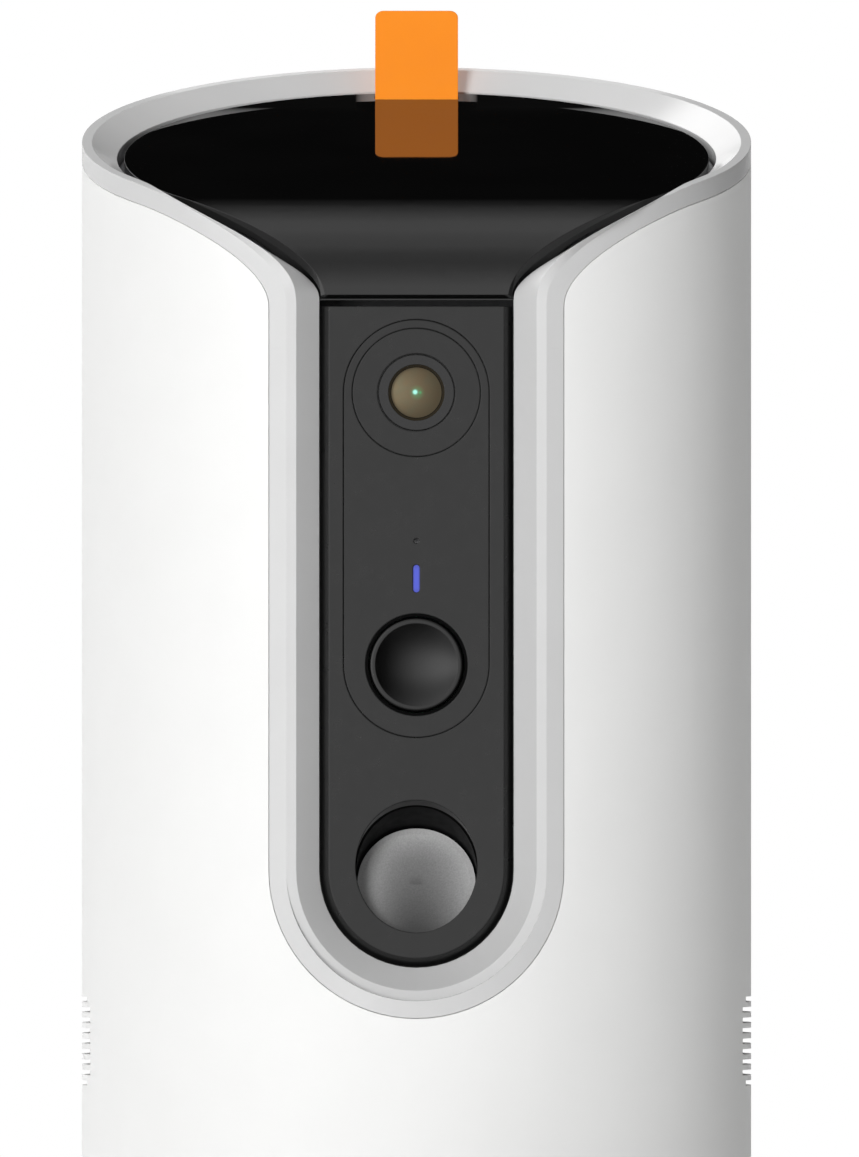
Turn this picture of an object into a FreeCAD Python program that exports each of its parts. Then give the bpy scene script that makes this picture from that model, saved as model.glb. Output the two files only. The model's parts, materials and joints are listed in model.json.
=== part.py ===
import FreeCAD, Part
import math
import os

# A pet camera that tosses treats: an upright cylinder whose top is cut by a slanted plane.
# Millimetres, +Z up, the front looks along -Y, and the origin is under the middle of the feet.

# Overall form
BODY_R = 65.0
SHELL_WALL = 2.5
RIM_Z = 230.5            # height of the slanted top plane on the axis
TILT = 0.2347            # rise of that plane towards the back, per millimetre of Y
SHELL_BASE_Z = 3.0
FRONT_BEND = math.radians(33.9)   # how far round from the side the rim starts to dip

# The channel down the front: half widths, and the height of its round bottom's centre
CHANNEL_SHELL = 28.5
CHANNEL_LAND = 25.1
CHANNEL_LAND_IN = 23.17
CHANNEL_FOOT = 18.75
CHANNEL_Z = 89.3
CHANNEL_JOIN_Z = 190.0   # where the straight channel meets the flared rim
LAND_DEPTH = 59.96       # the flat land of the channel lies this far in front of the axis
FOOT_DEPTH = 54.2
SEAM = 0.1               # seam between the outer shell and the trim

# Rim of the trim, as radii and heights of the slanted plane on the axis
BAND_H = 3.9
LAND_R = 63.06
FUNNEL_R = 58.2
FUNNEL_DROP = 3.2
SKIRT_DROP = 8.0
SKIRT_R = BODY_R - SHELL_WALL - 0.3

# Lid
LID_R = 56.8
LID_WALL = 2.6
LID_FLAT_Y = 34.0        # the flat top ends this far in front of the axis
LID_FOOT_Z = 199.3
LID_TOP = RIM_Z - FUNNEL_DROP
LIP_IN = 0.8             # the apron's lower lip is set back by this much under a bevel
LIP_H = 0.3
TAB_W = 16.2
TAB_T = 1.8
TAB_LEN = 19.3
TAB_LEAN = 30.0
TAB_Y = 52.5

# Front panel and what it carries
PANEL_Y = 54.0
PANEL_T = 3.0
PANEL_HALF = 18.45
PANEL_FACE_HALF = 16.87
PANEL_BEVEL = 0.9
PANEL_TOP_Z = 198.1
PLATE_R = 14.0
LENS_Z = 181.5
DISH_Z = 129.0
LED_Z = 145.6
MIC_Z = 152.9
BEZEL_R = 12.43
LENS_R = 7.4
GLASS_R = 4.85
BUTTON_R = 9.15
DISH_R = 8.0
BOARD_Y = 43.0
BOSS_X = 10.5            # posts that hold the camera board
BOSS_LOW_Z = 118.9
BOSS_HIGH_Z = 192.5

# Launch tube
MOUTH_Z = 90.1
BORE_R = 11.7
TUBE_LIFT = 23.7         # degrees that the tube rises towards the front
TUBE_LEN = 52.0
PUSHER_AT = 8.0          # distance of the pusher's face behind the mouth, along the tube
RACK_FROM = 54.0
RACK_TO = 86.0
COCK_AT = 82.0           # where the sector gear meets the rack

# Gears
MODULE = 1.0
SECTOR_TEETH = 20
WHEEL_TEETH = 20
PINION_TEETH = 10
GEAR_MODULE = 0.8
GEAR_TEETH = 40
MOTOR_TEETH = 10

# Inner levels
DECK_LOW = 20.0
DECK_HIGH = 104.0
DECK_T = 3.0
HOUSING_Z = 114.5
WHEEL_Z = 118.0
HOPPER_Z = 133.2
BIN_R = 53.0
BIN_FLAT = 34.0
WALL = 2.0
FACE_SIDE = 18.75        # inner faces of the two side plates

# Side slots and the rear of the base
SLOT_ROWS = 9
SLOT_PITCH = 2.03
SLOT_Z = 55.9
SPEAKER_Z = 55.9
INLET_Z = 15.4
FOOT_AT = 33.9           # the feet stand this far from the middle along X and along Y
RESET_X = 14.0

V = FreeCAD.Vector
UP = V(0, 0, 1)
FRONT = V(0, -1, 0)
SIDE = V(1, 0, 0)
SLANT = V(0, 1, TILT)    # a step along this vector stays on the slanted plane


def save(name, shape):
    """Write one sub-part."""
    shape = shape.removeSplitter()
    if not shape.isValid():
        print("not valid:", name)
    shape.exportStep("parts/%s.step" % name)
    print(name, len(shape.Solids), round(shape.Volume, 1))


def block(x0, x1, y0, y1, z0, z1):
    return Part.makeBox(x1 - x0, y1 - y0, z1 - z0, V(x0, y0, z0))


def post(r, x, y, z0, z1):
    return Part.makeCylinder(r, z1 - z0, V(x, y, z0), UP)


def ahead(r, x, z, depth0, depth1):
    """A round bar along Y, from depth0 to depth1 in front of the axis."""
    return Part.makeCylinder(r, depth1 - depth0, V(x, -depth0, z), FRONT)


def across(r, y, z, x0, x1):
    return Part.makeCylinder(r, x1 - x0, V(x0, y, z), SIDE)


def fuse(shapes):
    shapes = list(shapes)
    return shapes[0].multiFuse(shapes[1:]) if len(shapes) > 1 else shapes[0]


def mirrored(shape):
    return shape.mirror(V(0, 0, 0), SIDE)


def polygon(points):
    return Part.Face(Part.makePolygon(points + points[:1]))


def stadium(r, z_low, z_high):
    """A face with round ends in the plane of the front."""
    p = [V(-r, 0, z_low), V(-r, 0, z_high), V(r, 0, z_high), V(r, 0, z_low)]
    edges = [Part.LineSegment(p[0], p[1]), Part.Arc(p[1], V(0, 0, z_high + r), p[2]),
             Part.LineSegment(p[2], p[3]), Part.Arc(p[3], V(0, 0, z_low - r), p[0])]
    return Part.Face(Part.Wire([e.toShape() for e in edges]))


def channel_face(half, top):
    """The outline of the front channel: straight sides, round bottom, level top."""
    a = V(-half, 0, CHANNEL_Z)
    b = V(half, 0, CHANNEL_Z)
    edges = [Part.Arc(a, V(0, 0, CHANNEL_Z - half), b).toShape(),
             Part.makeLine(b, V(half, 0, top)),
             Part.makeLine(V(half, 0, top), V(-half, 0, top)),
             Part.makeLine(V(-half, 0, top), a)]
    return Part.Face(Part.Wire(edges))


def bar(face, depth0, depth1):
    """Extrude a face of the front plane from depth0 to depth1 in front of the axis."""
    moved = face.copy()
    moved.translate(V(0, -depth0, 0))
    return moved.extrude(V(0, depth0 - depth1, 0))


def below_slant(height):
    """All space under the slanted plane whose height on the axis is given."""
    side = [V(-90, y, height + TILT * y) for y in (-90, 90)]
    return polygon(side + [V(-90, 90, -10), V(-90, -90, -10)]).extrude(V(180, 0, 0))


# The rim and its dip


def dip(r, z_rim, x_end, z_end, flat, fall):
    """Control points of a rim line's dip, with heights taken along the slant to the axis."""
    x0 = r * math.cos(FRONT_BEND)
    return [V(x0, 0, z_rim), V(x0 - flat, 0, z_rim), V(x_end, 0, z_end + fall), V(x_end, 0, z_end)]


SHELL_DIP = dip(BODY_R, RIM_Z - BAND_H, CHANNEL_SHELL, 211.8, 8.4, 8.3)
BAND_DIP = dip(BODY_R, RIM_Z - BAND_H + SEAM, CHANNEL_SHELL - SEAM, 211.8, 8.4, 8.3)
LAND_DIP = dip(BODY_R, RIM_Z, CHANNEL_LAND, 213.3, 6.9, 9.7)
LAND_IN_DIP = dip(LAND_R, RIM_Z, CHANNEL_LAND_IN, 213.3, 2.7, 12.6)
FOOT_DIP = dip(FUNNEL_R, RIM_Z - FUNNEL_DROP, CHANNEL_FOOT, 212.5, 4.5, 6.8)
INNER_DIP = dip(FUNNEL_R, RIM_Z - SKIRT_DROP, 23.0, 209.5, 4.5, 6.8)
SKIRT_DIP = dip(SKIRT_R, RIM_Z - SKIRT_DROP, 30.5, 208.0, 6.0, 7.0)


def bezier(p, t):
    s = 1.0 - t
    return p[0] * s**3 + p[1] * (3 * s * s * t) + p[2] * (3 * s * t * t) + p[3] * t**3


def ring_point(r, angle, z_rim):
    """A point of a level ring of the slanted rim; the angle runs from +X towards the back."""
    y = r * math.sin(angle)
    return V(r * math.cos(angle), y, z_rim + TILT * y)


def dip_point(p, r, end_depth, t):
    """A point of a dip line, on the cylinder r, or eased towards a flat at end_depth."""
    q = bezier(p, t)
    depth = math.sqrt(r * r - q.x * q.x)
    if end_depth:
        ease = t * t * (3 - 2 * t)
        depth += ease * (end_depth - depth)
    return V(q.x, -depth, q.z - TILT * depth)


def rim_sections():
    """Cross-sections of the trim, from the middle of the back round to the channel."""
    z_band = RIM_Z - BAND_H + SEAM
    z_foot = RIM_Z - FUNNEL_DROP
    z_skirt = RIM_Z - SKIRT_DROP
    inner_start = -math.acos(BODY_R * math.cos(FRONT_BEND) / SKIRT_R)
    sections = []
    turn = 13
    for i in range(turn + 1):
        angle = math.pi / 2 - (math.pi / 2 + FRONT_BEND) * i / turn
        lag = max(0.0, -angle / FRONT_BEND) ** 2 * (inner_start + FRONT_BEND)
        sections.append([ring_point(BODY_R, angle, z_band), ring_point(BODY_R, angle, RIM_Z),
                         ring_point(LAND_R, angle, RIM_Z), ring_point(FUNNEL_R, angle, z_foot),
                         ring_point(FUNNEL_R, angle, z_skirt), ring_point(SKIRT_R, angle, z_skirt),
                         ring_point(SKIRT_R, angle + lag, z_band)])
    steps = 12
    for i in range(1, steps + 1):
        t = i / steps
        sections.append([dip_point(BAND_DIP, BODY_R, 0, t), dip_point(LAND_DIP, BODY_R, 0, t),
                         dip_point(LAND_IN_DIP, LAND_R, LAND_DEPTH, t),
                         dip_point(FOOT_DIP, FUNNEL_R, FOOT_DEPTH, t),
                         dip_point(INNER_DIP, FUNNEL_R, 52.6, t),
                         dip_point(SKIRT_DIP, SKIRT_R, 0, t),
                         dip_point(BAND_DIP, SKIRT_R, 0, t)])
    last = sections[-1]
    straight = 4
    for i in range(1, straight + 1):
        share = i / straight
        sections.append([V(p.x, p.y, p.z + share * (CHANNEL_JOIN_Z - p.z)) for p in last])
    return sections


def skin(sections):
    """A solid whose long edges run smoothly through the matching corners of the sections."""
    params = [0.0]
    for a, b in zip(sections, sections[1:]):
        params.append(params[-1] + sum(p.distanceToPoint(q) for p, q in zip(a, b)) / len(a))
    rails = []
    for corners in zip(*sections):
        speed = corners[0].distanceToPoint(corners[1]) / params[1]
        rail = Part.BSplineCurve()
        rail.interpolate(Points=list(corners), Parameters=params, Scale=False,
                         InitialTangent=SIDE * speed, FinalTangent=UP * -1)
        rails.append(rail.toShape())
    faces = [Part.makeRuledSurface(a, b, 1) for a, b in zip(rails, rails[1:] + rails[:1])]
    faces += [polygon(sections[0]), polygon(sections[-1])]
    shell = Part.makeShell(faces)
    shell.sewShape()
    solid = Part.makeSolid(shell)
    return solid if solid.Volume > 0 else solid.reversed()


def trim_liner():
    """The light trim: rim band, funnel round the lid, and the lining of the channel."""
    sections = rim_sections()
    rim = skin(sections)
    last = [(p.x, -p.y) for p in sections[-1]]
    foot, inner, skirt = last[3], last[4], last[5]
    share = (CHANNEL_SHELL - SEAM - inner[0]) / (skirt[0] - inner[0])
    back = inner[1] + share * (skirt[1] - inner[1])
    lining = [(CHANNEL_SHELL - SEAM, back), (CHANNEL_SHELL - SEAM, 70), (CHANNEL_LAND, 70),
              (CHANNEL_LAND, LAND_DEPTH), (CHANNEL_LAND_IN, LAND_DEPTH), foot, inner]
    edge = [(CHANNEL_SHELL - 1, back - 0.1), (CHANNEL_SHELL - 1, 70), (skirt[0], 70), skirt]
    parts = [rim]
    for outline, limit in ((lining, BODY_R), (edge, SKIRT_R)):
        face = polygon([V(x, -y, CHANNEL_Z) for x, y in outline])
        sides = face.extrude(V(0, 0, CHANNEL_JOIN_Z - CHANNEL_Z))
        bend = face.revolve(V(0, 0, CHANNEL_Z), V(0, 1, 0), 90)
        parts.append(sides.fuse(bend).common(post(limit, 0, 0, 0, 260)))
    half = fuse(parts)
    return half.fuse(mirrored(half))


def outer_shell():
    """The white casing, open at the front for the channel and at the top for the lid."""
    tube = post(BODY_R, 0, 0, SHELL_BASE_Z, 250).cut(post(BODY_R - SHELL_WALL, 0, 0, -1, 251))
    tube = tube.common(below_slant(RIM_Z - BAND_H))
    curve = Part.BezierCurve()
    curve.setPoles(SHELL_DIP)
    low = V(CHANNEL_SHELL, 0, 200)
    top = V(SHELL_DIP[0].x, 0, 260)
    edges = [curve.toShape(), Part.makeLine(SHELL_DIP[3], low), Part.makeLine(low, V(0, 0, 200)),
             Part.makeLine(V(0, 0, 200), V(0, 0, 260)), Part.makeLine(V(0, 0, 260), top),
             Part.makeLine(top, SHELL_DIP[0])]
    half = Part.Face(Part.Wire(edges)).extrude(SLANT * -90)
    channel = bar(channel_face(CHANNEL_SHELL, 202), 20, 90)
    tube = tube.cut(half.fuse(mirrored(half)).fuse(channel))
    slots = []
    for row in range(SLOT_ROWS):
        z = SLOT_Z + (row - (SLOT_ROWS - 1) / 2) * SLOT_PITCH
        reach = 12.0 if row in (0, SLOT_ROWS - 1) else 15.0
        slots.append(block(-70, 70, -reach, reach, z - 0.5, z + 0.5))
    inlet = bar(rounded_slot(10.2, 4.4, INLET_Z), -70, -50)
    reset = ahead(2.2, RESET_X, INLET_Z, -70, -50)
    return tube.cut(slots + [inlet, reset])


def rounded_slot(width, height, z):
    """A face in the front plane with round left and right ends."""
    r = height / 2
    flat = width / 2 - r
    p = [V(-flat, 0, z + r), V(flat, 0, z + r), V(flat, 0, z - r), V(-flat, 0, z - r)]
    edges = [Part.makeLine(p[0], p[1]), Part.Arc(p[1], V(width / 2, 0, z), p[2]).toShape(),
             Part.makeLine(p[2], p[3]), Part.Arc(p[3], V(-width / 2, 0, z), p[0]).toShape()]
    return Part.Face(Part.Wire(edges))


# Lid


def apron_curve(inset):
    """The front curve of the lid, seen from the side, from the flat top to its foot."""
    foot = PANEL_Y - inset
    top = LID_TOP - inset
    z_low = LID_FOOT_Z
    curve = Part.BezierCurve()
    curve.setPoles([V(0, -LID_FLAT_Y, top - TILT * LID_FLAT_Y),
                    V(0, -LID_FLAT_Y - 13.3, top - TILT * (LID_FLAT_Y + 13.3)),
                    V(0, -foot, z_low + 10.7), V(0, -foot, z_low)])
    return curve.toShape()


def lid_space(inset):
    """Everything under the lid's top surface, set in by the given amount."""
    curve = apron_curve(inset)
    top = LID_TOP - inset
    start = curve.Vertexes[0].Point
    end = curve.Vertexes[-1].Point
    back = V(0, 70, top + TILT * 70)
    edges = [Part.makeLine(back, start), curve, Part.makeLine(end, V(0, 70, LID_FOOT_Z)),
             Part.makeLine(V(0, 70, LID_FOOT_Z), back)]
    face = Part.Face(Part.Wire(edges))
    face.translate(V(-70, 0, 0))
    return face.extrude(V(140, 0, 0))


def lid():
    """A black disc with a curved apron that comes down to the front panel."""
    body = lid_space(0).common(post(LID_R, 0, 0, 150, 260))
    inner = lid_space(LID_WALL)
    body = body.cut(inner)
    y = -PANEL_Y + LIP_IN
    z = LID_FOOT_Z + LIP_H
    under = [V(-30, y, z - 2), V(-30, y - 2, z - 2), V(-30, y - 2, z + 2), V(-30, y, z)]
    under = polygon(under).extrude(V(60, 0, 0))
    return body.cut([under, tab_bar(TAB_W + 0.2, TAB_T + 0.2, -6, TAB_LEN, 0)])


def tab_bar(width, thick, start, end, corner):
    """The leaning strap, from start to end along its length, with round corners at the end."""
    bar_shape = block(-width / 2, width / 2, -thick / 2, thick / 2, start, end)
    if corner:
        top = [e for e in bar_shape.Edges if abs(e.CenterOfMass.z - end) < 1e-6
               and abs(abs(e.CenterOfMass.x) - width / 2) < 1e-6]
        bar_shape = bar_shape.makeFillet(corner, top)
    bar_shape.rotate(V(0, 0, 0), SIDE, -TAB_LEAN)
    bar_shape.translate(V(0, TAB_Y, LID_TOP + TILT * TAB_Y))
    return bar_shape


def d_space(r, flat):
    """A tall round column cut flat towards the front."""
    return post(r, 0, 0, 60, 260).common(block(-90, 90, -flat, 90, 60, 260))


def slab(r, flat, low, high):
    """A plate parallel to the lid, round with a flat front, between two slanted planes."""
    return d_space(r, flat).common(below_slant(high)).cut(below_slant(low))


def lid_plug():
    top = LID_TOP - LID_WALL
    ring = slab(50.0, 31.5, top - 8, top).cut(slab(48.0, 29.5, top - 8, top - WALL))
    return ring.cut(slab(51, 32.5, top - 5.5, top - 3.0).cut(slab(48.8, 30.3, top - 6, top)))


def lid_seal():
    top = LID_TOP - LID_WALL
    return slab(52.6, 33.6, top - 5.4, top - 3.1).cut(slab(48.9, 30.4, top - 6, top))


# Front panel


def tube_point(s, lift=0.0):
    """A point s behind the mouth along the launch tube, and lift above the tube's axis."""
    a = math.radians(TUBE_LIFT)
    return V(0, -PANEL_Y + s * math.cos(a) + lift * math.sin(a),
             MOUTH_Z - s * math.sin(a) + lift * math.cos(a))


def on_tube(shape):
    """Take a shape built with its length along +Z and its top towards +Y to the tube's axis."""
    placed = shape.copy()
    placed.rotate(V(0, 0, 0), UP, 180)
    placed.rotate(V(0, 0, 0), SIDE, -90 - TUBE_LIFT)
    placed.translate(tube_point(0))
    return placed


def along(r, s0, s1):
    return on_tube(Part.makeCylinder(r, s1 - s0, V(0, 0, s0), UP))


def front_panel():
    """The dark panel with its bevelled edge, window seat, mouth and rear flange."""
    face = channel_face(PANEL_HALF, PANEL_TOP_Z)
    plate = bar(face, PANEL_Y - PANEL_T, PANEL_Y)
    rim = [e for e in plate.Edges if abs(e.CenterOfMass.y + PANEL_Y) < 1e-6
           and e.CenterOfMass.z < PANEL_TOP_Z - 1]
    plate = plate.makeChamfer(PANEL_BEVEL, PANEL_HALF - PANEL_FACE_HALF, rim)
    skirt = bar(face, 49.8, PANEL_Y - PANEL_T).cut(bar(channel_face(PANEL_FACE_HALF, 230), 40, 60))
    flange = bar(channel_face(24.0, PANEL_TOP_Z - 2), 49.8, 52.2)
    flange = flange.cut(bar(channel_face(PANEL_FACE_HALF, 230), 40, 60))
    seat = bar(stadium(PLATE_R + 0.12, DISH_Z, LENS_Z), PANEL_Y - 2.2, PANEL_Y + 1)
    window = bar(stadium(12.6, DISH_Z, LENS_Z), 40, 60)
    bosses = [ahead(2.0, x, z, BOARD_Y, PANEL_Y - PANEL_T + 0.5)
              for x in (-BOSS_X, BOSS_X) for z in (BOSS_LOW_Z, BOSS_HIGH_Z)]
    return fuse([plate, skirt, flange] + bosses).cut([seat, window, along(BORE_R, -20, 20)])


def sensor_plate():
    """The flush window plate with holes for the lens, microphone, light and button."""
    plate = bar(stadium(PLATE_R, DISH_Z, LENS_Z), PANEL_Y - 2.1, PANEL_Y)
    light = rounded_slot(5.3, 1.3, 0)
    light.rotate(V(0, 0, 0), V(0, 1, 0), 90)
    light.translate(V(0, 0, LED_Z))
    holes = [ahead(BEZEL_R, 0, LENS_Z, 50, 60), ahead(9.85, 0, DISH_Z, 50, 60),
             ahead(0.5, 0, MIC_Z, 50, 60), bar(light, 50, 60)]
    return plate.cut(holes)


def status_light():
    light = rounded_slot(5.2, 1.2, 0)
    light.rotate(V(0, 0, 0), V(0, 1, 0), 90)
    light.translate(V(0, 0, LED_Z))
    foot = block(-1.5, 1.5, -BOARD_Y - 2.0, -BOARD_Y, LED_Z - 3, LED_Z + 3)
    return bar(light, BOARD_Y + 1.5, PANEL_Y).fuse(foot)


def lens_bezel():
    ring = ahead(BEZEL_R - 0.1, 0, LENS_Z, PANEL_Y - 2.5, PANEL_Y)
    return ring.cut(ahead(LENS_R + 0.1, 0, LENS_Z, 50, 60))


def lens_barrel():
    """The lens tube with a flat front and a short cone round the glass, on a round foot."""
    front = PANEL_Y - 0.1
    tube = ahead(LENS_R - 0.15, 0, LENS_Z, BOARD_Y + 3, front)
    foot = ahead(LENS_R + 0.5, 0, LENS_Z, BOARD_Y, BOARD_Y + 3)
    cone = Part.makeCone(GLASS_R + 0.1, GLASS_R + 0.6, 1.2, V(0, -front + 1.2, LENS_Z), FRONT)
    bore = ahead(GLASS_R + 0.1, 0, LENS_Z, BOARD_Y + 6, 60)
    return tube.fuse(foot).cut([cone, bore])


def lens_glass():
    """The front lens: a short round block with a domed face."""
    dome_r = 14.0
    face = PANEL_Y - 0.5
    body = ahead(GLASS_R, 0, LENS_Z, BOARD_Y + 6, face)
    return body.common(Part.makeSphere(dome_r, V(0, -face + dome_r, LENS_Z)))


def camera_board():
    board = block(-13, 13, -BOARD_Y, -BOARD_Y + 1.6, 116, 195.5)
    chip = block(-6, 6, -BOARD_Y + 1.6, -BOARD_Y + 2.8, LENS_Z - 6, LENS_Z + 6)
    return board.fuse(chip)


def infrared_leds():
    leds = []
    for x in (-1, 1):
        for z in (-1, 1):
            spot = V(x * 7.1, -BOARD_Y - 4.5, LENS_Z + z * 7.1)
            led = ahead(1.5, spot.x, spot.z, BOARD_Y, BOARD_Y + 4.5)
            leds.append(led.fuse(Part.makeCone(1.5, 0.8, 1.0, spot, FRONT)))
    return Part.makeCompound(leds)


def microphone():
    return ahead(2.0, 0, MIC_Z, BOARD_Y, BOARD_Y + 1.5)


def mic_boot():
    """The soft tube that joins the sound hole to the microphone."""
    boot = ahead(2.8, 0, MIC_Z, BOARD_Y, PANEL_Y - 2.2)
    return boot.cut([ahead(0.7, 0, MIC_Z, 40, 60), ahead(2.05, 0, MIC_Z, 40, BOARD_Y + 1.6)])


def button_ring():
    ring = ahead(9.8, 0, DISH_Z, PANEL_Y - 2.5, PANEL_Y + 0.1)
    return ring.cut(ahead(BUTTON_R + 0.2, 0, DISH_Z, 40, 60))


def call_button():
    """A round key with a hollow face, a rounded edge and a stem to the switch."""
    cap = ahead(BUTTON_R, 0, DISH_Z, PANEL_Y - 4.5, PANEL_Y)
    rim = [e for e in cap.Edges if abs(e.CenterOfMass.y + PANEL_Y) < 1e-6]
    cap = cap.makeFillet(0.7, rim)
    depth = 2.4
    ball_r = (DISH_R**2 + depth**2) / (2 * depth)
    ball = Part.makeSphere(ball_r, V(0, -PANEL_Y - ball_r + depth, DISH_Z))
    stem = ahead(1.7, 0, DISH_Z, 47.2, PANEL_Y - 4)
    return cap.cut(ball).fuse(stem)


def button_switch():
    body = block(-3, 3, -46.4, -BOARD_Y, DISH_Z - 3, DISH_Z + 3)
    return body.cut(ahead(1.6, 0, DISH_Z, 44.0, 60))


def switch_plunger():
    return ahead(1.4, 0, DISH_Z, 45.2, 47.2)


# Launch tube and its drive


def launch_tube():
    """The tilted tube behind the mouth, with the window where treats drop in."""
    tube = along(BORE_R + 1.6, -4, TUBE_LEN).cut(along(BORE_R + 0.1, -10, 80))
    tube = tube.common(block(-30, 30, -PANEL_Y + PANEL_T + 0.1, 60, 0, 200))
    window = block(-8.5, 8.5, -33, -18, MOUTH_Z - 8, 120)
    return tube.cut(window)


def tube_cap():
    """The rear guide of the tube, with a square hole for the pusher's rod."""
    a = FACE_SIDE
    cap = on_tube(block(-a, a, -BORE_R, BORE_R, TUBE_LEN + 0.1, TUBE_LEN + 5))
    return cap.cut(on_tube(block(-4.3, 4.3, -4.3, 4.3, 40, 80)))


def pusher():
    """The round pusher with its square rod and the rack on the rod's underside."""
    disc = along(BORE_R - 0.3, PUSHER_AT, PUSHER_AT + 3)
    hollow = 60.0
    dish = Part.makeSphere(hollow, V(0, 0, PUSHER_AT - hollow + 0.9))
    disc = disc.cut(on_tube(dish))
    rod = block(-4, 4, -4, 4, PUSHER_AT + 3, RACK_TO + 2)
    pitch = math.pi * MODULE
    spaces = []
    count = int((RACK_TO - RACK_FROM) / pitch)
    for i in range(count):
        s = COCK_AT + (i - count + 2) * pitch
        outline = [(-4.1, -1.25), (-1.75, -0.5), (-1.75, 0.5), (-4.1, 1.25)]
        face = polygon([V(-5, y, s + w) for y, w in outline])
        spaces.append(face.extrude(V(10, 0, 0)))
    return disc.fuse(on_tube(rod.cut(spaces)))


def pusher_spring():
    """A coil spring round the rod, between the pusher and the rear guide."""
    wire_r = 0.6
    coil_r = 7.4
    start = PUSHER_AT + 3 + wire_r + 0.05
    length = TUBE_LEN - start - wire_r - 0.1
    turns = 5
    path = Part.makeHelix(length / turns, length, coil_r)
    corners = [V(coil_r + x, 0, z) for x, z in ((-wire_r, 0), (0, -wire_r), (wire_r, 0), (0, wire_r))]
    section = Part.makePolygon(corners + corners[:1])
    coil = Part.Wire(path).makePipeShell([section], True, False)
    coil.translate(V(0, 0, start))
    return on_tube(coil)


def gear(teeth, module, width, spread=0.43, phase=0.0, reach=360.0):
    """A spur gear standing on the plane z = 0, with a tooth centred on the phase angle."""
    pitch_r = teeth * module / 2
    root = pitch_r - 1.15 * module
    tip = pitch_r + 0.85 * module
    wheel = Part.makeCylinder(root + 0.02, width)
    step = 360.0 / teeth
    solids = [wheel]
    for i in range(int(round(reach / step))):
        a = phase + i * step
        outline = []
        for r, share in ((root - 0.3, 0.66), (pitch_r, spread), (tip, 0.20)):
            half = share * step / 2
            outline.append((r, half))
        left = [(r, a + h) for r, h in outline]
        right = [(r, a - h) for r, h in reversed(outline)]
        corners = [V(r * math.cos(math.radians(b)), r * math.sin(math.radians(b)), 0)
                   for r, b in left + right]
        solids.append(polygon(corners).extrude(V(0, 0, width)))
    return fuse(solids)


def cocking_axis():
    """Centre of the sector gear, as (y, z)."""
    p = tube_point(COCK_AT, -3.0 - SECTOR_TEETH * MODULE / 2)
    return p.y, p.z


def to_cross_axis(shape, x, y, z, turn):
    """Turn a gear built on Z so that its axis lies along X, with phase 0 at the turn angle."""
    placed = shape.copy()
    placed.rotate(V(0, 0, 0), V(0, 0, 1), turn)
    placed.rotate(V(0, 0, 0), V(1, 1, 1), 120)
    placed.translate(V(x, y, z))
    return placed


def cocking_gear():
    """The sector gear that draws the pusher back, its drive gear and their shaft."""
    y, z = cocking_axis()
    up = 90.0 - TUBE_LIFT
    sector = gear(SECTOR_TEETH, MODULE, 7.0, phase=-8 * 18.0, reach=17 * 18.0)
    big = gear(GEAR_TEETH, GEAR_MODULE, 4.0)
    motor_y, motor_z = motor_axis()
    towards = math.degrees(math.atan2(motor_z - z, motor_y - y))
    shaft = across(2.0, y, z, -FACE_SIDE - 2.4, FACE_SIDE + 2.4)
    hub = across(4.0, y, z, 3.4, 8.1)
    return fuse([to_cross_axis(sector, -3.5, y, z, up), to_cross_axis(big, 8.0, y, z, towards),
                 shaft, hub])


def motor_axis():
    """Centre of the cocking motor, as (y, z), one gear distance from the sector gear."""
    y, z = cocking_axis()
    reach = (GEAR_TEETH + MOTOR_TEETH) * GEAR_MODULE / 2
    return y + reach * math.cos(math.radians(-30)), z + reach * math.sin(math.radians(-30))


def cocking_pinion():
    y, z = motor_axis()
    own_y, own_z = cocking_axis()
    towards = math.degrees(math.atan2(own_z - z, own_y - y))
    small = gear(MOTOR_TEETH, GEAR_MODULE, 5.0, phase=180.0 / MOTOR_TEETH)
    shaft = across(1.2, y, z, 7.0, FACE_SIDE + 3.5)
    return to_cross_axis(small, 7.5, y, z, towards).fuse(shaft)


def cocking_motor():
    y, z = motor_axis()
    can = across(9.5, y, z, FACE_SIDE + 2.6, 42)
    return can.cut(across(1.3, y, z, 20, FACE_SIDE + 4.0)).fuse(across(3, y, z, 42, 43.5))


# Treat bin and metering wheel


def treat_hopper():
    """The bin: a round wall with a flat front, a funnel floor, a rim flange and a shelf."""
    top = LID_TOP - LID_WALL - 0.3
    funnel_top = HOPPER_Z + 25
    spread = BIN_R + 3 - 36

    def inside(grow):
        cone = Part.makeCone(36 + grow, 36 + grow + spread, 25, V(0, 0, HOPPER_Z), UP)
        upper = post(BIN_R + grow, 0, 0, funnel_top - 0.01, 250)
        return cone.fuse(upper).common(d_space(BIN_R + grow, BIN_FLAT + grow))

    body = inside(WALL).common(below_slant(top))
    flange = slab(FUNNEL_R - 0.3, BIN_FLAT + WALL, top - 2, top)
    shelf = post(57.0, 0, 0, 195.9, 197.6).common(block(-60, 60, -49.4, -BIN_FLAT, 190, 200))
    neck = inside(0).cut(block(-40, 40, -60, -8, HOPPER_Z - 1, HOPPER_Z + 1.5))
    return fuse([body, flange, shelf]).cut(neck)


def wheel_housing():
    """The cup round the metering wheel, on three legs, with the drop hole in its floor."""
    cup = post(40, 0, 0, HOUSING_Z, HOPPER_Z - 0.1).cut(post(38, 0, 0, HOUSING_Z + 2.5, 150))
    legs = [post(3, 35 * math.cos(a), 35 * math.sin(a), DECK_HIGH + DECK_T, HOUSING_Z)
            for a in (math.radians(d) for d in (90, 215, 325))]
    return fuse([cup] + legs).cut([post(3.05, 0, 0, 100, 120), block(-8, 8, -32, -14, 100, 120)])


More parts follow.
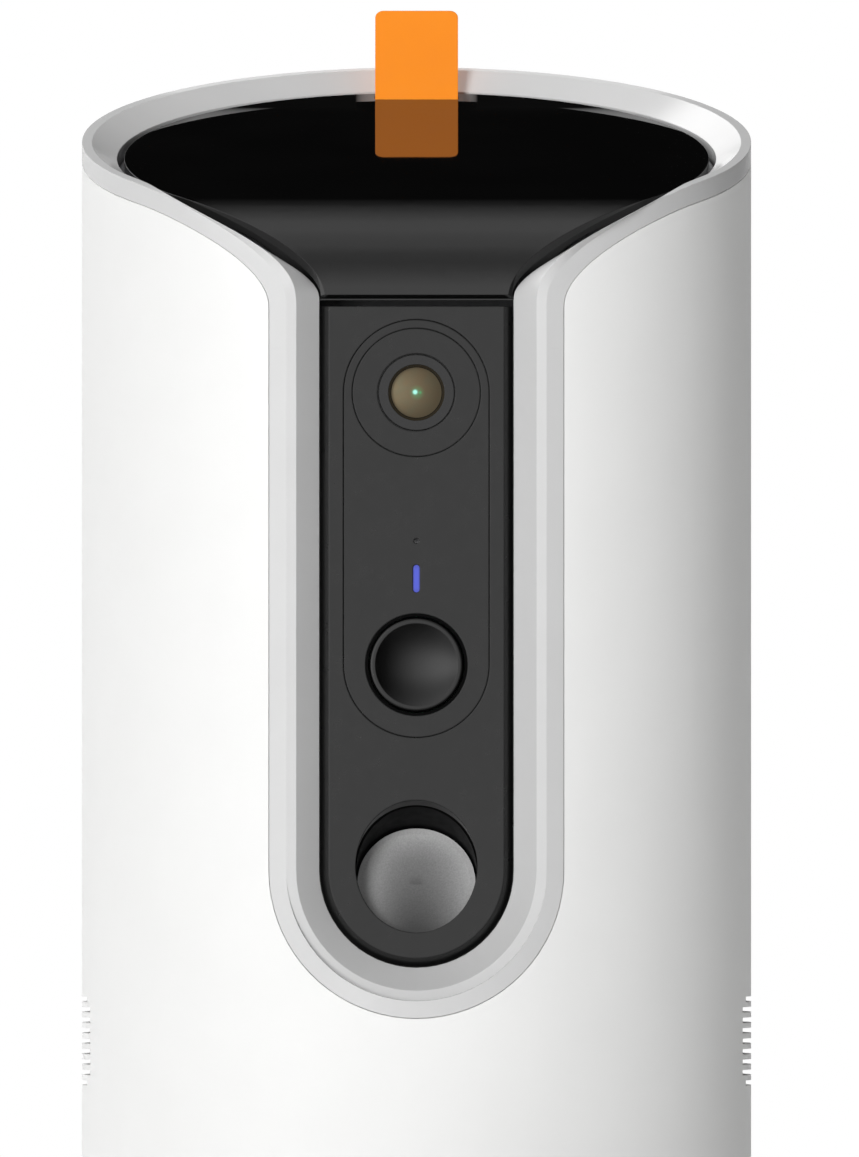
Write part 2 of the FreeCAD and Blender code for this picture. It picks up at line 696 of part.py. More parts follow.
def metering_wheel():
    """The rotor whose six pockets carry treats to the drop hole."""
    hub = post(8, 0, 0, WHEEL_Z, 132.3)
    vane = block(7, 37.5, -1, 1, WHEEL_Z, 131.3)
    vanes = []
    for i in range(6):
        turned = vane.copy()
        turned.rotate(V(0, 0, 0), UP, 60 * i + 30)
        vanes.append(turned)
    return fuse([hub] + vanes).cut(post(3.0, 0, 0, 100, 130))


def wheel_gear():
    wheel = gear(WHEEL_TEETH, MODULE, 5.0, phase=90.0)
    wheel.translate(V(0, 0, 108.5))
    return wheel.fuse(post(3.0, 0, 0, 108.5, 130))


def dispenser_axis():
    return (WHEEL_TEETH + PINION_TEETH) * MODULE / 2


def dispenser_pinion():
    small = gear(PINION_TEETH, MODULE, 5.0, phase=90.0 + 180.0 + 180.0 / PINION_TEETH)
    small.translate(V(0, dispenser_axis(), 108.5))
    return small.fuse(post(1.5, 0, dispenser_axis(), 100, 113.5))


def dispenser_motor():
    y = dispenser_axis()
    can = post(10, 0, y, 84, DECK_HIGH - 0.1)
    return can.cut(post(1.6, 0, y, 98, 110)).fuse(post(3, 0, y, 82.5, 84))


def drop_chute():
    """The square duct from the drop hole down to the window of the launch tube."""
    duct = block(-10.5, 10.5, -35, -12, 70, HOUSING_Z - 0.1)
    duct = duct.cut(block(-8.5, 8.5, -33, -14, 60, 120))
    below = on_tube(block(-30, 30, -60, 0, -20, 120))
    return duct.cut(along(BORE_R + 1.7, -10, 90)).cut(below)


# Inner frame and electronics


def foot_spots():
    """The four places, in plan, of a foot with its screw and the leg above it."""
    return [(x * FOOT_AT, y * FOOT_AT) for x in (-1, 1) for y in (-1, 1)]


def chassis():
    """The inner frame: two decks, two side plates, speaker brackets and screw legs."""
    y, z = cocking_axis()
    motor_y, motor_z = motor_axis()
    high = post(62.0, 0, 0, DECK_HIGH, DECK_HIGH + DECK_T).common(block(-70, 70, -46, 70, 90, 120))
    high = high.cut([block(-11, 11, -35.5, -11.5, 90, 120), post(2, 0, dispenser_axis(), 90, 120)])
    low = post(60.0, 0, 0, DECK_LOW, DECK_LOW + 2.5)
    plates = []
    for x in (-FACE_SIDE - 2.5, FACE_SIDE):
        plate = block(x, x + 2.5, -49.7, 46, DECK_LOW, DECK_HIGH)
        ear = block(x, x + 2.5, -49.7, -41, DECK_HIGH, 190)
        cut = across(2.05, y, z, x - 1, x + 4)
        plates.append(plate.fuse(ear).cut(cut))
    plates[1] = plates[1].cut(across(1.5, motor_y, motor_z, FACE_SIDE - 1, FACE_SIDE + 5))
    brackets = [block(x, x + 2, -12, 12, DECK_LOW, 62) for x in (-48, 46)]
    legs = [post(4, fx, fy, 6.2, DECK_LOW + 1) for fx, fy in foot_spots()]
    frame = fuse([high, low] + plates + brackets + legs)
    return frame.cut([post(1.2, fx, fy, 0, 16) for fx, fy in foot_spots()])


def speaker():
    """One round speaker facing +X: basket, magnet and a shallow cone."""
    basket = across(15, 0, SPEAKER_Z, 53, 59.3)
    magnet = across(9, 0, SPEAKER_Z, 48, 53)
    cone = Part.makeCone(5, 13, 4.5, V(55, 0, SPEAKER_Z), SIDE)
    return basket.fuse(magnet).cut(cone)


def main_board():
    board = post(42, 0, 0, 12, 13.4).fuse(block(-8, 18, 30, 58.5, 12, 13.4))
    chips = [block(-14, 2, -18, -4, 13.4, 15.4), block(8, 20, 2, 14, 13.4, 15.2),
             block(-24, -16, 8, 24, 13.4, 16.4)]
    return fuse([board] + chips)


def power_inlet():
    """The flat power socket at the rear, open to the back."""
    shell = bar(rounded_slot(9.8, 4.0, INLET_Z), -64.6, -55)
    hollow = bar(rounded_slot(9.0, 3.2, INLET_Z), -66, -57)
    tongue = block(-3.3, 3.3, 57, 63.2, INLET_Z - 0.35, INLET_Z + 0.35)
    return shell.cut(hollow).fuse(tongue).fuse(block(-4, 4, 55, 62, 13.4, 13.8))


def reset_button():
    return ahead(1.9, RESET_X, INLET_Z, -63.6, -59.6)


def reset_switch():
    return block(RESET_X - 3, RESET_X + 3, 55, 58.6, 13.4, 17.4)


def base_plate():
    """The floor of the casing, with raised pads for the board and seats for the feet."""
    plate = post(SKIRT_R, 0, 0, 3.2, 6.2)
    pads = [post(3, 30 * math.cos(a), 30 * math.sin(a), 6.2, 12)
            for a in (math.radians(45 + 90 * i) for i in range(4))]
    seats = [post(8.1, x, y, 0, 4.2) for x, y in foot_spots()]
    holes = [post(1.7, x, y, 0, 10) for x, y in foot_spots()]
    return fuse([plate] + pads).cut(seats + holes)


def rubber_feet():
    feet = []
    for x, y in foot_spots():
        foot = post(8.0, x, y, 0.8, 4.2).fuse(Part.makeCone(7.2, 8.0, 0.8, V(x, y, 0), UP))
        feet.append(foot.cut(post(3.2, x, y, -1, 5)))
    return Part.makeCompound(feet)


def base_screws():
    screws = [post(2.9, x, y, 2.2, 4.2).fuse(post(1.2, x, y, 4.2, 15)) for x, y in foot_spots()]
    return Part.makeCompound(screws)


def build():
    os.makedirs("parts", exist_ok=True)
    save("outer_shell", outer_shell())
    save("trim_liner", trim_liner())
    save("lid", lid())
    save("lid_plug", lid_plug())
    save("lid_seal", lid_seal())
    save("pull_tab", tab_bar(TAB_W, TAB_T, -3.2, TAB_LEN, 1.6))
    save("front_panel", front_panel())
    save("sensor_plate", sensor_plate())
    save("status_light", status_light())
    save("lens_bezel", lens_bezel())
    save("lens_barrel", lens_barrel())
    save("lens_glass", lens_glass())
    save("camera_board", camera_board())
    save("infrared_leds", infrared_leds())
    save("microphone", microphone())
    save("mic_boot", mic_boot())
    save("button_ring", button_ring())
    save("call_button", call_button())
    save("button_switch", button_switch())
    save("switch_plunger", switch_plunger())
    save("launch_tube", launch_tube())
    save("tube_cap", tube_cap())
    save("pusher", pusher())
    save("pusher_spring", pusher_spring())
    save("cocking_gear", cocking_gear())
    save("cocking_pinion", cocking_pinion())
    save("cocking_motor", cocking_motor())
    save("treat_hopper", treat_hopper())
    save("wheel_housing", wheel_housing())
    save("metering_wheel", metering_wheel())
    save("wheel_gear", wheel_gear())
    save("dispenser_pinion", dispenser_pinion())
    save("dispenser_motor", dispenser_motor())
    save("drop_chute", drop_chute())
    save("chassis", chassis())
    save("speaker_right", speaker())
    save("speaker_left", mirrored(speaker()))
    save("main_board", main_board())
    save("power_inlet", power_inlet())
    save("reset_button", reset_button())
    save("reset_switch", reset_switch())
    save("base_plate", base_plate())
    save("rubber_feet", rubber_feet())
    save("base_screws", base_screws())


build()
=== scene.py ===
import json
import math

import bpy
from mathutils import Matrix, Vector


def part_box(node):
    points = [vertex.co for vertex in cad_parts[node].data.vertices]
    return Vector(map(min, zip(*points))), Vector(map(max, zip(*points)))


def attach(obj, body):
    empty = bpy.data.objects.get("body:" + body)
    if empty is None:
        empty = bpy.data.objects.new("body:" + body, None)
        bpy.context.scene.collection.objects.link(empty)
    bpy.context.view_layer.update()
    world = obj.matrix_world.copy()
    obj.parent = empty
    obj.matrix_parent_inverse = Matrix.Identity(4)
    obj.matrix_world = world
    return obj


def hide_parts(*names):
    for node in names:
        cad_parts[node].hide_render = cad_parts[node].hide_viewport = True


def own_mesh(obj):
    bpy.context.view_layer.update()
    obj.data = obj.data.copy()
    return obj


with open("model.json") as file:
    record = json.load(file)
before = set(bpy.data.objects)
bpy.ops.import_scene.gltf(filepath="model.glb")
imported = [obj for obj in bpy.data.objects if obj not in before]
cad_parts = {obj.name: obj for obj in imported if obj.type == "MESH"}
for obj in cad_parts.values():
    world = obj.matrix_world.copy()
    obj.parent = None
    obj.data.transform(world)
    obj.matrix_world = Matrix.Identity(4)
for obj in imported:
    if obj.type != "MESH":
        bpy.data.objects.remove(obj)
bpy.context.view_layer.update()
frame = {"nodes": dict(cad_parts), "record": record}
nodes = frame["nodes"]

MM = 0.001

# The photograph: a level view from the front with hardly any perspective. One of its pixels is
# PIXEL wide at SCALE_PLANE, a little in front of the casing's axis. The axis is in AXIS_COLUMN,
# and the middle of the slanted rim, at RIM_HEIGHT, is in RIM_ROW.
PHOTO_WIDTH = 859
PHOTO_HEIGHT = 1157
PIXEL = 0.193885 * MM
AXIS_COLUMN = 416.5
RIM_ROW = 140.74
RIM_HEIGHT = 230.5 * MM
SCALE_PLANE = -15.0 * MM
LENS_MM = 1250.0
SENSOR_MM = 36.0

# The tent that polished parts mirror is an arch from left to right over the object. ARCH gives
# its brightness by degrees up from level behind the object, over the top at 90, to level in
# front at 180. ACROSS gives a factor by the direction's share to the right, from -1 on the left
# to 1, and DOWN one by its share upwards, which darkens what lies below level. The strip is one
# more softbox, high behind on the left, which leaves the white streak on the right of the rim.
TENT_STRENGTH = 2.5
ARCH = ((0, 0.4), (8, 0.4), (16, 0.0), (29, 0.0), (37, 0.03), (47, 0.12), (57, 0.26), (68, 0.46),
        (82, 0.62), (110, 0.62), (123, 0.46), (136, 0.42), (147, 0.52), (166, 0.86), (180, 0.86))
ACROSS = ((-1, 0.75), (-0.74, 1.0), (-0.53, 0.95), (0, 0.6), (0.55, 0.15), (0.76, 0.01), (1, 0.01))
DOWN = ((-1, 0.0), (-0.5, 0.68), (0, 1.0), (1, 1.0))
STRIP_STRENGTH = 3.2
STRIP_ARCH = ((0, 0.0), (6, 0.25), (18, 0.35), (30, 0.6), (46, 1.0), (52, 1.0), (56, 0.0), (180, 0.0))
STRIP_ACROSS = ((-1, 1.0), (-0.2, 1.0), (-0.1, 0.3), (-0.06, 0.0), (1, 0.0))
FILL_STRENGTH = 0.05

# In metres: how wide the area lights are, the point that they face, and the table top's radius.
LAMP_WIDTH = 0.5
LAMP_AIM = Vector((0, 0, 0.15))
FLOOR_RADIUS = 1.3

# The launch mouth: the height of its centre, and its radius.
MOUTH_Z = 90.1 * MM
MOUTH_R = 11.7 * MM

# The lid's disc bends down into its apron about this far in front of the axis.
APRON_Y = -35.5 * MM


class Tree:
    """A node tree, with short calls for what the materials and the world are made of."""

    def __init__(self, tree):
        self.tree = tree

    def add(self, kind, **settings):
        node = self.tree.nodes.new(kind)
        for key, value in settings.items():
            setattr(node, key, value)
        return node

    def link(self, source, target):
        self.tree.links.new(source, target)

    def math(self, operation, *values):
        """One step of arithmetic on numbers or on other nodes' outputs."""
        node = self.add("ShaderNodeMath", operation=operation)
        for socket, value in zip(node.inputs, values):
            if isinstance(value, (int, float)):
                socket.default_value = value
            else:
                self.link(value, socket)
        return node.outputs[0]

    def square(self, value):
        return self.math("MULTIPLY", value, value)

    def ranged(self, source, start, end, low, high, steps="SMOOTHSTEP"):
        """source as a value that goes from low at start to high at end, and no further."""
        node = self.add("ShaderNodeMapRange", interpolation_type=steps)
        for name, value in (("From Min", start), ("From Max", end), ("To Min", low), ("To Max", high)):
            node.inputs[name].default_value = value
        self.link(source, node.inputs["Value"])
        return node.outputs["Result"]


class Graph(Tree):
    """A material, in which a texture is placed in the object's own metres."""

    def __init__(self, name):
        self.material = bpy.data.materials.new(name)
        self.material.use_nodes = True
        super().__init__(self.material.node_tree)
        self.shader = self.tree.nodes["Principled BSDF"]
        self.place = self.add("ShaderNodeTexCoord").outputs["Object"]

    def feed(self, **sources):
        """Links sources to the shader's sockets, whose names are written with _ for a space."""
        for key, source in sources.items():
            self.link(source, self.shader.inputs[key.replace("_", " ")])

    def set(self, **values):
        """Sets the shader's own sockets, named as in feed."""
        for key, value in values.items():
            self.shader.inputs[key.replace("_", " ")].default_value = value

    def axes(self):
        """The place in the object's own metres, as its x, y and z."""
        node = self.add("ShaderNodeSeparateXYZ")
        self.link(self.place, node.inputs["Vector"])
        return node.outputs["X"], node.outputs["Y"], node.outputs["Z"]

    def away(self, right, up):
        """How far the place is, in x and z alone, from the point at right and up."""
        x, y, z = self.axes()
        across = self.square(self.math("SUBTRACT", x, right))
        height = self.square(self.math("SUBTRACT", z, up))
        return self.math("SQRT", self.math("ADD", across, height))

    def noise(self, size, detail=3.0, stretch=(1, 1, 1)):
        """A noise whose lumps are about size metres across, longer where stretch is over 1."""
        mapping = self.add("ShaderNodeMapping")
        mapping.inputs["Scale"].default_value = [1 / s for s in stretch]
        self.link(self.place, mapping.inputs["Vector"])
        noise = self.add("ShaderNodeTexNoise")
        noise.inputs["Scale"].default_value = 1 / size
        noise.inputs["Detail"].default_value = detail
        self.link(mapping.outputs["Vector"], noise.inputs["Vector"])
        return noise.outputs["Fac"]

    def spread(self, noise, low, high):
        """A noise, most of which lies from 0.3 to 0.7, as a value from low to high."""
        return self.ranged(noise, 0.3, 0.7, low, high, steps="LINEAR")

    def blend(self, noise, first, second):
        """A colour between first and second by a noise."""
        ramp = self.add("ShaderNodeValToRGB")
        for stop, place, colour in zip(ramp.color_ramp.elements, (0.35, 0.65), (first, second)):
            stop.position = place
            stop.color = (*colour, 1)
        self.link(noise, ramp.inputs["Fac"])
        return ramp.outputs["Color"]

    def mix(self, share, first, second):
        """first where share is 0 and second where it is 1; each is a colour or an output."""
        node = self.add("ShaderNodeMix", data_type="RGBA", blend_type="MIX")
        for name, value in (("A", first), ("B", second)):
            if isinstance(value, tuple):
                node.inputs[name].default_value = (*value, 1)
            else:
                self.link(value, node.inputs[name])
        self.link(share, node.inputs["Factor"])
        return node.outputs["Result"]

    def edge(self, radius):
        """A normal that is rounded over the object's sharp edges."""
        bevel = self.add("ShaderNodeBevel", samples=6)
        bevel.inputs["Radius"].default_value = radius
        return bevel.outputs["Normal"]

    def bump(self, source, height, under=None):
        """A relief that is height metres deep, over the normal under it."""
        relief = self.add("ShaderNodeBump")
        relief.inputs["Strength"].default_value = 1.0
        relief.inputs["Distance"].default_value = height
        self.link(source, relief.inputs["Height"])
        if under is not None:
            self.link(under, relief.inputs["Normal"])
        return relief.outputs["Normal"]


def linear(*display):
    """A colour on the display, each channel from 0 to 255, as linear light."""
    shares = [value / 255 for value in display]
    return tuple(s / 12.92 if s <= 0.04045 else ((s + 0.055) / 1.055) ** 2.4 for s in shares)


def shade(colour, factor):
    return tuple(min(1.0, c * factor) for c in colour)


def plastic(name, colour, roughness, grain=0.35 * MM, relief=0.004 * MM, tone=0.02,
            edge=0.2 * MM, **sockets):
    """Moulded plastic: a spark-eroded grain, slow drifts of tone and a slightly uneven sheen."""
    g = Graph(name)
    drift = g.noise(18 * MM, detail=2.0)
    sheen = g.noise(2.2 * MM, detail=4.0)
    g.feed(
        Base_Color=g.blend(drift, shade(colour, 1 - tone), shade(colour, 1 + tone)),
        Roughness=g.spread(sheen, roughness * 0.9, roughness * 1.1),
        Normal=g.bump(g.noise(grain, detail=2.0), relief, under=g.edge(edge)),
    )
    g.set(**sockets)
    return g


def rubber(name, colour):
    """Moulded rubber, dull and with a deeper, finer grain."""
    return plastic(name, colour, 0.7, grain=0.2 * MM, relief=0.008 * MM)


def dark_panel(name):
    """The panel's plastic. Its sheen is taken away on the wall of the launch mouth, which paints shade into
    the mouth.
    """
    g = plastic(name, linear(14, 14, 14), 0.3, relief=0.002 * MM, edge=0.35 * MM)
    out = g.away(0, MOUTH_Z)
    # Painted shade: no sheen within the mouth's wall.
    g.feed(Specular_IOR_Level=g.ranged(out, MOUTH_R + 0.05 * MM, MOUTH_R + 0.15 * MM, 0.0, 0.5))
    return g


def rim_trim(name):
    """The grey moulding, satin. Its sheen fades out towards the back of the rim, which paints shade there.
    """
    g = plastic(name, linear(208, 208, 208), 0.16, tone=0.01, relief=0.001 * MM)
    x, y, z = g.axes()
    # Painted shade: no sheen at the back of the rim.
    g.feed(Specular_IOR_Level=g.ranged(y, 28 * MM, 44 * MM, 0.36, 0.0))
    return g


def polished(name, dull, bright, smooth, rough):
    """Polished plastic: a faint long waviness from the mould and fine hairlines in the sheen."""
    g = Graph(name)
    hairs = g.noise(0.5 * MM, detail=5.0, stretch=(14, 1, 1))
    g.feed(
        Base_Color=g.blend(g.noise(25 * MM, detail=1.0), dull, bright),
        Roughness=g.spread(hairs, smooth, rough),
        Normal=g.bump(g.noise(22 * MM, detail=1.0), 0.002 * MM, under=g.edge(0.15 * MM)),
    )
    return g


def polished_lid(name):
    """The lid's black. Its sheen is set by place: it mirrors best on its apron, less on the disc, and not
    at all at its back beside the strap, which paints shade there.
    """
    g = polished(name, (0.0028, 0.0028, 0.0028), (0.0034, 0.0034, 0.0034), 0.012, 0.03)
    low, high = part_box("pull_tab")
    x, y, z = g.axes()
    # Painted shade: the sheen fades out on the disc's back and beside the strap.
    apron = g.ranged(y, APRON_Y - 2.5 * MM, APRON_Y + 2.5 * MM, 0.5, 0.0)
    disc = g.ranged(y, 34 * MM, 44 * MM, 0.3, 0.0)
    strap = g.ranged(g.math("ABSOLUTE", x), high.x, high.x + 3.9 * MM, 0.3, 0.0)
    g.feed(Specular_IOR_Level=g.math("MAXIMUM", apron, g.math("MAXIMUM", disc, strap)))
    return g


def metal(name, colour, roughness):
    """Bare metal with fine marks and small stains."""
    g = Graph(name)
    marks = g.noise(0.25 * MM, detail=4.0)
    g.feed(
        Base_Color=g.blend(marks, shade(colour, 0.88), shade(colour, 1.05)),
        Roughness=g.spread(g.noise(3 * MM), roughness * 0.8, roughness * 1.3),
        Normal=g.bump(marks, 0.003 * MM),
    )
    g.set(Metallic=1.0)
    return g


def board(name):
    """Circuit board: green resist over copper tracks that run square to each other."""
    g = Graph(name)
    cells = g.add("ShaderNodeTexBrick", offset=0.37, squash=0.6, squash_frequency=3)
    cells.inputs["Scale"].default_value = 260.0
    cells.inputs["Mortar Size"].default_value = 0.03
    cells.inputs["Color1"].default_value = (0.006, 0.075, 0.030, 1)
    cells.inputs["Color2"].default_value = (0.008, 0.095, 0.038, 1)
    cells.inputs["Mortar"].default_value = (0.030, 0.190, 0.070, 1)
    g.link(g.place, cells.inputs["Vector"])
    g.feed(
        Base_Color=cells.outputs["Color"],
        Roughness=g.spread(g.noise(1 * MM), 0.28, 0.42),
        Normal=g.bump(cells.outputs["Fac"], 0.03 * MM),
    )
    return g


def coated_glass(name):
    """The front lens: a bronze coating with painted light, namely a painted glint of two glowing spots and
    a halo, and a faint bronze glow all over.
    """
    g = Graph(name)
    low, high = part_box("lens_glass")
    middle = (low + high) / 2

    def painted_spot(right, up, radius):
        return g.ranged(g.away(middle.x + right, middle.z + up), 0.25 * radius, radius, 1.0, 0.0)

    # Painted glint: the spots glow where a lamp's reflection in the lens elements would be.
    core = painted_spot(-0.25 * MM, 0.1 * MM, 0.8 * MM)
    side = painted_spot(0.7 * MM, 0.0, 0.5 * MM)
    halo = painted_spot(0.1 * MM, 0.0, 1.7 * MM)
    painted_glint = g.mix(core, (0.02, 0.26, 0.10), (0.35, 1.0, 0.85))
    share = g.math("MAXIMUM", core, g.math("MAXIMUM", side, g.math("MULTIPLY", halo, 0.4)))
    # The emission is painted light: the faint bronze glow over all the glass, with the painted glint over
    # it.
    g.feed(
        Base_Color=g.blend(g.noise(2.2 * MM, detail=2.0), (0.105, 0.078, 0.046), (0.095, 0.083, 0.052)),
        Roughness=g.spread(g.noise(1.5 * MM), 0.28, 0.34),
        Emission_Color=g.mix(share, (0.052, 0.042, 0.027), painted_glint),
    )
    g.set(Metallic=1.0, Emission_Strength=1.0)
    return g


def clear_resin(name):
    """Moulded lamp resin with a faint cloud in it."""
    g = Graph(name)
    cloud = g.noise(1.2 * MM)
    g.feed(
        Base_Color=g.blend(cloud, (0.80, 0.82, 0.86), (0.90, 0.92, 0.95)),
        Roughness=g.spread(cloud, 0.08, 0.16),
    )
    g.set(Transmission_Weight=0.85, IOR=1.5)
    return g


def lit_diffuser(name):
    """The status light: milky plastic that glows blue, a little weaker towards its edges."""
    g = Graph(name)
    low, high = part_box("status_light")
    x, y, z = g.axes()
    up = g.math("ABSOLUTE", g.math("SUBTRACT", z, (low.z + high.z) / 2))
    ends = g.ranged(up, 1.5 * MM, 2.6 * MM, 1.0, 0.6)
    sides = g.ranged(g.math("ABSOLUTE", x), 0.3 * MM, 0.6 * MM, 1.0, 0.3)
    g.feed(
        Emission_Color=g.mix(g.math("MULTIPLY", ends, sides), (0.02, 0.02, 0.16), (0.045, 0.06, 0.50)),
        Roughness=g.spread(g.noise(0.4 * MM), 0.30, 0.40),
    )
    g.set(Base_Color=(0.03, 0.04, 0.12, 1), Emission_Strength=1.0)
    return g


def painted_light_face(name):
    """The pusher's grey with a real fine grain, and painted light that makes it lighter towards the top and
    both sides.
    """
    g = Graph(name)
    x, y, z = g.axes()
    # Painted light: the grey's level rises with height above the mouth's centre and towards both sides.
    up = g.math("SUBTRACT", z, MOUTH_Z)
    slope = g.math("MULTIPLY", up, 0.010 / MM)
    top = g.math("MULTIPLY", g.square(g.math("MAXIMUM", up, 0.0)), 0.0045 / MM**2)
    sides = g.math("MULTIPLY", g.square(x), 0.0025 / MM**2)
    light = g.math("ADD", 0.17, g.math("ADD", g.math("ADD", slope, top), sides))
    grain = g.noise(0.3 * MM, detail=2.0)
    level = g.math("MULTIPLY", light, g.spread(grain, 0.88, 1.12))
    level = g.math("MINIMUM", 0.45, g.math("MAXIMUM", 0.05, level))
    grey = g.add("ShaderNodeCombineColor")
    for channel in ("Red", "Green", "Blue"):
        g.link(level, grey.inputs[channel])
    g.feed(
        Base_Color=grey.outputs["Color"],
        Roughness=g.spread(g.noise(1 * MM), 0.4, 0.5),
        Normal=g.bump(grain, 0.01 * MM),
    )
    return g


def coil_spring(finish):
    """The spring behind the pusher: a copy with its own mesh and finish, held on the housing in place of
    the hidden CAD node.
    """
    solid = nodes["pusher_spring"]
    coil = bpy.data.objects.new("coil_spring", solid.data.copy())
    bpy.context.scene.collection.objects.link(coil)
    coil.data.materials.clear()
    coil.data.materials.append(finish)
    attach(coil, "housing")
    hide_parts("pusher_spring")
    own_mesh(coil)


def dress():
    """Gives every CAD node the finish of its slot in the record, and the key's ring its own."""
    lens_black = linear(14, 14, 15)
    finishes = {
        "shell_white": plastic("shell white", linear(241, 241, 240), 0.45, tone=0.006,
                               Specular_IOR_Level=0.2),
        "trim_grey": rim_trim("trim grey"),
        "lid_black": polished_lid("lid black"),
        "panel_dark": dark_panel("panel dark"),
        "button_dark": plastic("button dark", linear(9, 9, 9), 0.22, relief=0.001 * MM),
        # The strap's faint orange glow is painted light that brightens it.
        "strap_orange": plastic("strap orange", linear(255, 146, 30), 0.38, relief=0.003 * MM,
                                Emission_Color=(1.0, 0.26, 0.02, 1), Emission_Strength=0.15),
        "lens_black": polished("lens black", shade(lens_black, 0.96), shade(lens_black, 1.04), 0.084, 0.18),
        "tube_dark": plastic("tube dark", linear(13, 13, 14), 0.5, relief=0.006 * MM, tone=0.1,
                             Specular_IOR_Level=0.05),
        "pusher_grey": painted_light_face("pusher grey"),
        "inner_grey": plastic("inner grey", linear(84, 84, 86), 0.45),
        "frame_grey": plastic("frame grey", linear(112, 113, 116), 0.5),
        "base_grey": plastic("base grey", linear(120, 121, 122), 0.45),
        "gear_white": plastic("gear white", linear(226, 226, 220), 0.35),
        "rubber_black": rubber("rubber black", linear(30, 30, 30)),
        "rubber_grey": rubber("rubber grey", linear(118, 118, 118)),
        "board_green": board("board green"),
        "metal_steel": metal("metal steel", linear(190, 190, 192), 0.3),
        "lens_glass": coated_glass("lens glass"),
        "led_clear": clear_resin("lamp clear"),
        "light_blue": lit_diffuser("light blue"),
    }
    # The key's ring is near-black and dull: painted shade for the groove around the key.
    groove_shade_ring = plastic("ring black", linear(5, 5, 5), 0.6, edge=0.05 * MM, Specular_IOR_Level=0.05)
    for part in frame["record"]["subparts"]:
        node = nodes[part["node"]]
        finish = groove_shade_ring if part["node"] == "button_ring" else finishes[part["material_slot"]]
        node.data.materials.clear()
        node.data.materials.append(finish.material)
    coil_spring(finishes["metal_steel"].material)


def make_camera():
    """The photograph's frame: a long lens, level, straight at the front."""
    data = bpy.data.cameras.new("camera")
    data.lens = LENS_MM
    data.sensor_width = SENSOR_MM
    camera = bpy.data.objects.new("camera", data)
    bpy.context.scene.collection.objects.link(camera)
    distance = PHOTO_HEIGHT * PIXEL * LENS_MM / SENSOR_MM
    across = (PHOTO_WIDTH / 2 - AXIS_COLUMN) * PIXEL
    height = RIM_HEIGHT - (PHOTO_HEIGHT / 2 - RIM_ROW) * PIXEL
    camera.location = (across, SCALE_PLANE - distance, height)
    camera.rotation_euler = (math.radians(90), 0, 0)
    data.clip_end = 2 * distance
    bpy.context.scene.camera = camera


def softbox(name, azimuth, elevation, distance, height, power):
    """A light height tall. Azimuth 0 is in front and 90 to the right, elevation above level."""
    data = bpy.data.lights.new(name, "AREA")
    data.shape = "RECTANGLE"
    data.size = LAMP_WIDTH
    data.size_y = height
    data.energy = power
    lamp = bpy.data.objects.new(name, data)
    bpy.context.scene.collection.objects.link(lamp)
    a = math.radians(azimuth)
    e = math.radians(elevation)
    away = Vector((math.sin(a) * math.cos(e), -math.cos(a) * math.cos(e), math.sin(e)))
    lamp.location = LAMP_AIM + away * distance
    lamp.rotation_euler = away.to_track_quat("Z", "Y").to_euler()
    lamp.visible_glossy = False


def make_light():
    """A tall main softbox, weak tall ones on the right, and two high behind for the rim."""
    softbox("main", -20, 8, 2.0, 1.2, 33.5)
    softbox("right", 42, 8, 2.0, 1.2, 3.2)
    softbox("far_right", 80, 5, 2.0, 1.2, 4.1)
    softbox("back_left", -138, 50, 1.4, 0.5, 9.0)
    softbox("back", 180, 55, 1.4, 0.5, 12.0)


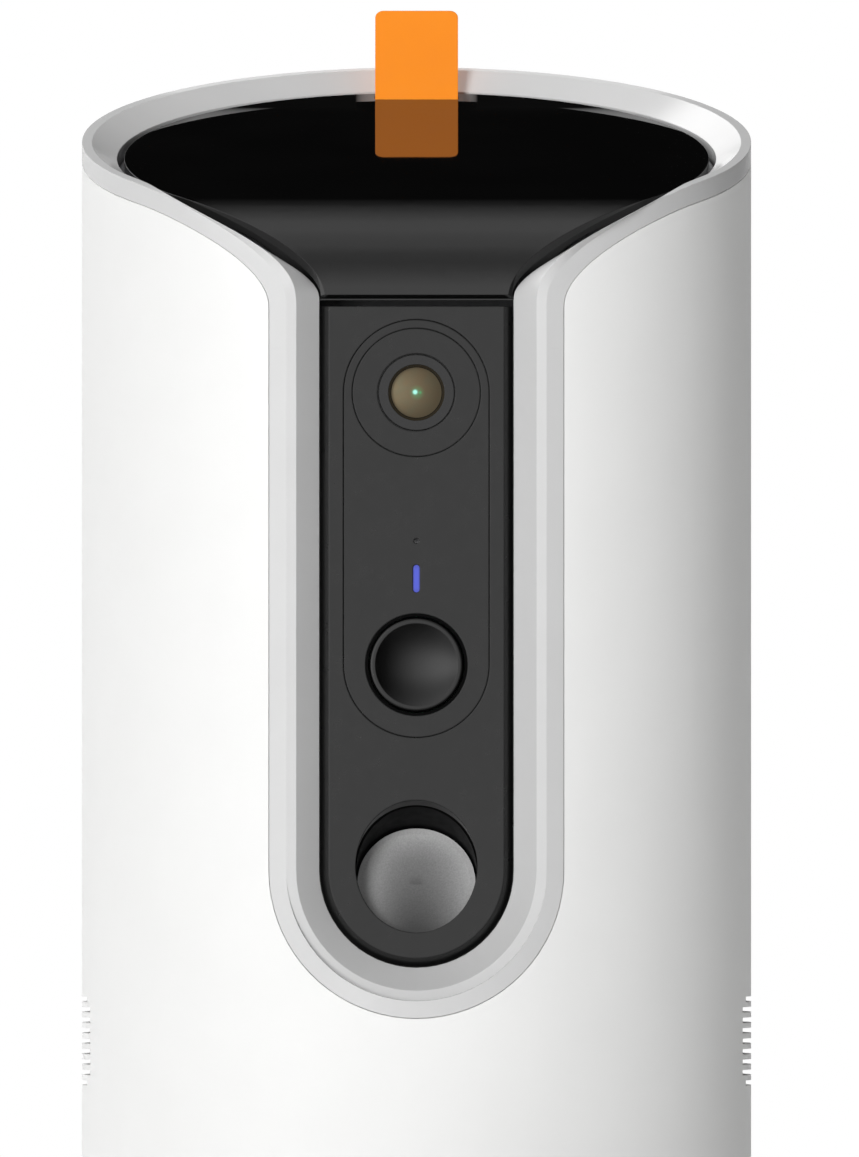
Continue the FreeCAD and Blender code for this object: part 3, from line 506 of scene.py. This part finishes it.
def make_world():
    """The studio: white behind the object, plain fill, and a tent that polished parts mirror."""
    world = bpy.data.worlds.new("studio")
    bpy.context.scene.world = world
    world.use_nodes = True
    n = Tree(world.node_tree)
    way = n.add("ShaderNodeSeparateXYZ")
    n.link(n.add("ShaderNodeTexCoord").outputs["Generated"], way.inputs["Vector"])
    turn = n.math("ARCTAN2", n.math("ABSOLUTE", way.outputs["Z"]), way.outputs["Y"])

    def levels(source, low, high, marks):
        """The brightness that marks give for source, which runs from low to high."""
        ramp = n.add("ShaderNodeValToRGB")
        stops = ramp.color_ramp.elements
        first = marks[0][0]
        last = marks[-1][0]
        for place, level in marks[1:-1]:
            stops.new((place - first) / (last - first))
        for stop, (place, level) in zip(stops, marks):
            stop.color = (level, level, level, 1)
        n.link(n.ranged(source, low, high, 0.0, 1.0, steps="LINEAR"), ramp.inputs["Fac"])
        return ramp.outputs["Color"]

    def product(first, second):
        both = n.add("ShaderNodeMix", data_type="RGBA", blend_type="MULTIPLY")
        both.inputs["Factor"].default_value = 1.0
        n.link(first, both.inputs["A"])
        n.link(second, both.inputs["B"])
        return both.outputs["Result"]

    def tent_light(arch, across, strength):
        """A light in the tent, bright where all of its marks are."""
        plan = product(levels(turn, 0, math.pi, arch), levels(way.outputs["X"], -1, 1, across))
        light = n.add("ShaderNodeBackground")
        light.inputs["Strength"].default_value = strength
        n.link(product(plan, levels(way.outputs["Z"], -1, 1, DOWN)), light.inputs["Color"])
        return light.outputs[0]

    def mixed(share, first, second):
        """first where share is 0, and second where it is 1."""
        node = n.add("ShaderNodeMixShader")
        for socket, source in zip(node.inputs, (share, first, second)):
            n.link(source, socket)
        return node.outputs[0]

    backdrop = n.tree.nodes["Background"]
    backdrop.inputs["Color"].default_value = (1, 1, 1, 1)
    fill = n.add("ShaderNodeBackground")
    fill.inputs["Color"].default_value = (1, 1, 1, 1)
    fill.inputs["Strength"].default_value = FILL_STRENGTH
    tent = n.add("ShaderNodeAddShader")
    n.link(tent_light(ARCH, ACROSS, TENT_STRENGTH), tent.inputs[0])
    n.link(tent_light(STRIP_ARCH, STRIP_ACROSS, STRIP_STRENGTH), tent.inputs[1])
    path = n.add("ShaderNodeLightPath").outputs
    seen = n.math("MAXIMUM", path["Is Camera Ray"], path["Is Transmission Ray"])
    lit = mixed(path["Is Glossy Ray"], fill.outputs[0], tent.outputs[0])
    n.link(mixed(seen, lit, backdrop.outputs[0]), n.tree.nodes["World Output"].inputs["Surface"])


def make_floor():
    """A pale table top, which the photograph's frame ends above."""
    bpy.ops.mesh.primitive_circle_add(vertices=96, radius=FLOOR_RADIUS, fill_type="NGON")
    floor = bpy.context.object
    floor.name = "floor"
    g = Graph("floor")
    g.feed(
        Base_Color=g.blend(g.noise(0.12), (0.80, 0.80, 0.80), (0.82, 0.82, 0.82)),
        Roughness=g.spread(g.noise(0.02), 0.55, 0.65),
    )
    floor.data.materials.append(g.material)
    floor.visible_glossy = False


dress()
make_camera()
make_light()
make_world()
make_floor()
bpy.context.scene.view_settings.view_transform = "Standard"
